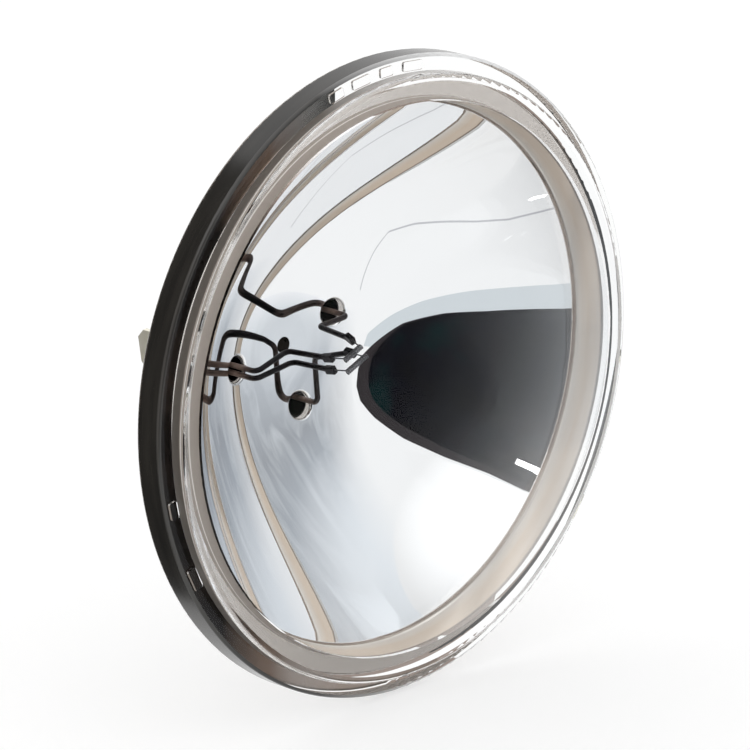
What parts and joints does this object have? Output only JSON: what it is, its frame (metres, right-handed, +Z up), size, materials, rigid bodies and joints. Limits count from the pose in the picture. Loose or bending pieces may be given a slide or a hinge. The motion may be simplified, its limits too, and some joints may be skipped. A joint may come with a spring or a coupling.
{
  "type": "sealed beam reflector lamp",
  "caption": "Round sealed-beam lamp: clear domed glass lens fused to a mirrored glass bowl, filament coils on bent wire leads inside, contact blades behind.",
  "frame": {"origin": "centre of the rim, on the optical axis", "axes": "+Y along the optical axis towards the contact blades, so the lens faces -Y; +Z up, with the coils nearly level"},
  "size_m": [0.114, 0.0663, 0.114],
  "materials": {
    "mirrored_glass": "pressed glass, aluminised on the inside of the bowl",
    "clear_glass": "clear, polished",
    "ferrule_metal": "oxidised nickel-iron",
    "lead_wire": "brown heat-tinted wire, darker at the clamps",
    "filament_wire": "drawn tungsten",
    "contact_metal": "tinned"
  },
  "bodies": {
    "root": {"reflector": "mirrored_glass", "lens": "clear_glass", "exhaust_tip": "clear_glass", "ferrule_left": "ferrule_metal", "ferrule_right": "ferrule_metal", "ferrule_bottom": "ferrule_metal", "lead_left_upper": "lead_wire", "lead_left_lower": "lead_wire", "lead_right": "lead_wire", "lead_bottom": "lead_wire", "filament_main": "filament_wire", "filament_second": "filament_wire", "lug_left": "contact_metal", "lug_right": "contact_metal", "lug_bottom": "contact_metal"}
  },
  "joints": []
}
